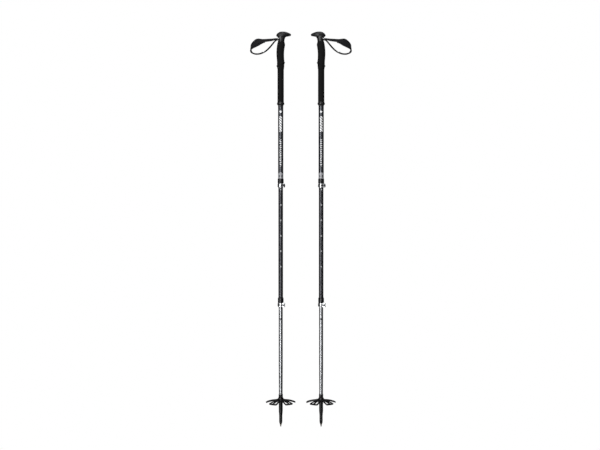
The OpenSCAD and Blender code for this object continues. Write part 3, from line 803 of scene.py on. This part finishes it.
def strap_pieces(side):
    frames = strap_frames(side)
    flat_section = section(WEBBING_HALF, -WEBBING_HALF_T, WEBBING_HALF_T, 0.7)
    webbing, length = band_piece(f"{side}_webbing_loop", side, frames,
                                 [flat_section] * len(frames), [webbing_mat], True)
    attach(webbing, f"{side}_strap")
    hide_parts(f"{side}_strap_webbing")
    pad_frames = frames[PAD_FIRST:PAD_LAST + 1]
    halves = [pad_half_width(PAD_FIRST + k) for k in range(len(pad_frames))]
    outlines = [pad_outline(half) for half in halves]
    pad, _ = band_piece(f"{side}_wrist_pad", side, pad_frames, outlines, [lining_mat], False)
    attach(pad, f"{side}_strap")
    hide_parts(f"{side}_strap_pad")
    for edge, name in ((-1, "front"), (1, "rear")):
        turns = [2 * math.pi * k / BINDING_SIDES for k in range(BINDING_SIDES)]
        outlines = [[(edge * (half - 0.5) + BINDING_R * math.cos(a),
                      BINDING_IN + BINDING_R * math.sin(a)) for a in turns] for half in halves]
        piping, _ = band_piece(f"{side}_{name}_binding", side, pad_frames, outlines, [binding_mat],
                               False)
        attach(piping, f"{side}_strap")
    stitches = new_piece(f"{side}_pad_stitching", stitch_rows(side, pad_frames, halves), [thread_mat])
    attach(stitches, f"{side}_strap")


for side in SIDES:
    strap_pieces(side)

# Tip -------------------------------------------------------------------------------------------
# A tapered black plastic ferrule is pushed on the end of the lower tube. A steel sleeve in its
# end holds the hollow-ground carbide point.

ferrule_mat, tree, shader = plain_material("ferrule_plastic", (0.0028, 0.0029, 0.0034), 0.4, spec=0.3)
bump(tree, shader, speckle(tree, 1700, 3.0), 0.00004, 0.6)
scuffs = ramp(tree, speckle(tree, 240, 5.0, 0.7), 0.35, 0.75, 0.34, 0.62)
link(tree, scuffs, shader.inputs["Roughness"])
sleeve_mat, tree, shader = plain_material("tip_sleeve_steel", (0.36, 0.31, 0.16), 0.32, 1.0)
link(tree, ramp(tree, speckle(tree, 900, 5.0), 0.3, 0.7, 0.24, 0.5), shader.inputs["Roughness"])
carbide_mat, tree, shader = plain_material("carbide", (0.10, 0.09, 0.07), 0.45, 1.0)
bump(tree, shader, speckle(tree, 4200, 3.0), 0.00006)
for side in SIDES:
    soften(finish_node(f"{side}_ferrule", ferrule_mat), 0.3)
    soften(finish_node(f"{side}_tip_sleeve", sleeve_mat), 0.15, 2)
    soften(finish_node(f"{side}_carbide_tip", carbide_mat), 0.1, 2)

# Basket ----------------------------------------------------------------------------------------
# A moulded snow basket of flexible black plastic screws on the ferrule. Five domed lobes spread
# from its hub, each with a rounded rim, a middle rib and a window either side of the rib.

basket_mat, tree, shader = plain_material("basket_plastic", (0.0050, 0.0040, 0.0048), 0.36, spec=0.4)
bump(tree, shader, speckle(tree, 1500, 3.0), 0.00005, 0.6)
rubbed = ramp(tree, speckle(tree, 160, 5.0, 0.65), 0.35, 0.75, 0.30, 0.55)
link(tree, rubbed, shader.inputs["Roughness"])

# Radius of each ring of the web, and the angles from a lobe's middle to its rib's edge, the middle
# and far edge of its window, its own side, and the foot of the cleft beside it
WEB_RINGS = [
    (8.0, 7.0, 14.0, 21.0, 29.0, 36), (11.5, 7.2, 13.5, 20.0, 30.0, 36),
    (15.2, 7.2, 11.0, 16.5, 32.2, 36), (20.2, 6.4, 8.0, 10.2, 29.2, 36),
    (24.0, 5.6, 8.2, 11.2, 26.6, 36), (30.0, 5.2, 8.8, 12.6, 24.4, 36),
    (36.0, 4.8, 9.0, 13.4, 22.8, 36), (40.4, 4.6, 9.1, 13.7, 21.8, 36),
    (43.4, 4.5, 8.7, 12.6, 21.3, 36), (46.7, 4.2, 8.4, 12.4, 20.0, 36),
    (48.4, 4.0, 7.9, 12.2, 16.8, 36)]
LOBES, LOBE_TURN, WEB_T, WEB_TOP, WEB_RIM_R = 5, 20.3, 4.2, 80.6, 48
CLEFT_ROW, CLEFT_COLUMN, WINDOW_ROWS, WINDOW_COLUMNS = 2, 4, (3, 8), (1, 2)


def web_middle(r):
    """Height of the web's middle surface: domed towards the hub and rolled down at the rim."""
    inward = WEB_RIM_R - r
    rolled = 0.5 * max(0.0, (r - 43) / 5) ** 2
    return WEB_TOP - WEB_T / 2 + 0.1 * inward + 4 * (1 - (inward / 30 - 1) ** 2) - rolled


def basket_piece(side):
    bm = bmesh.new()
    rows, cols = len(WEB_RINGS), 2 * (len(WEB_RINGS[0]) - 1)
    bmesh.ops.create_grid(bm, x_segments=cols - 1, y_segments=rows - 1, size=1.0)
    spots = {}
    for v in bm.verts:
        spots[v] = (round((v.co.y + 1) / 2 * (rows - 1)), round((v.co.x + 1) / 2 * (cols - 1)))
    gone = []
    for face in bm.faces:
        row = min(spots[v][0] for v in face.verts)
        col = min(spots[v][1] for v in face.verts)
        from_rib = abs(2 * col + 2 - cols) // 2
        cleft = row >= CLEFT_ROW and from_rib == CLEFT_COLUMN
        window = WINDOW_ROWS[0] <= row < WINDOW_ROWS[1] and from_rib in WINDOW_COLUMNS
        if cleft or window:
            gone.append(face)
    for v, (row, col) in spots.items():
        r = WEB_RINGS[row][0]
        half = WEB_RINGS[row][1:][::-1] + WEB_RINGS[row][1:]
        a = math.radians(half[col] * (-1 if col < cols / 2 else 1) + LOBE_TURN)
        v.co = (r * MM * math.cos(a), r * MM * math.sin(a), web_middle(r) * MM)
    bmesh.ops.delete(bm, geom=gone, context="FACES")
    for v in [v for v in bm.verts if not v.link_faces]:
        bm.verts.remove(v)
    bmesh.ops.spin(bm, geom=bm.verts[:] + bm.edges[:] + bm.faces[:], axis=(0, 0, 1), cent=(0, 0, 0),
                   angle=2 * math.pi, steps=LOBES, use_duplicate=True)
    bmesh.ops.remove_doubles(bm, verts=bm.verts, dist=2e-5)
    bmesh.ops.translate(bm, verts=bm.verts, vec=(pole_x(side), 0, 0))
    bmesh.ops.recalc_face_normals(bm, faces=bm.faces)
    web = new_piece(f"{side}_basket_web", bm, [basket_mat], 180)
    wall = web.modifiers.new("wall", "SOLIDIFY")
    wall.thickness, wall.offset = WEB_T * MM, 0
    wall.use_even_offset = True
    round_off = web.modifiers.new("round", "SUBSURF")
    round_off.levels = round_off.render_levels = 3
    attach(web, f"{side}_basket")
    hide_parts(f"{side}_basket")
    profile = [(6.75, 80.8)] + arc(8.1, 81.3, 0.5, -90, 0, 3)
    profile += [(9.0, 82.8), (11.0, 85.2), (11.8, 86.4), (11.2, 87.8), (9.9, 89.4), (9.3, 91.2)]
    profile += arc(7.6, 94.0, 0.5, 0, 90, 3) + [(6.75, 94.5)]
    hub = lathe(f"{side}_basket_hub", profile, pole_x(side), [basket_mat], 64)
    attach(hub, f"{side}_basket")


for side in SIDES:
    basket_piece(side)
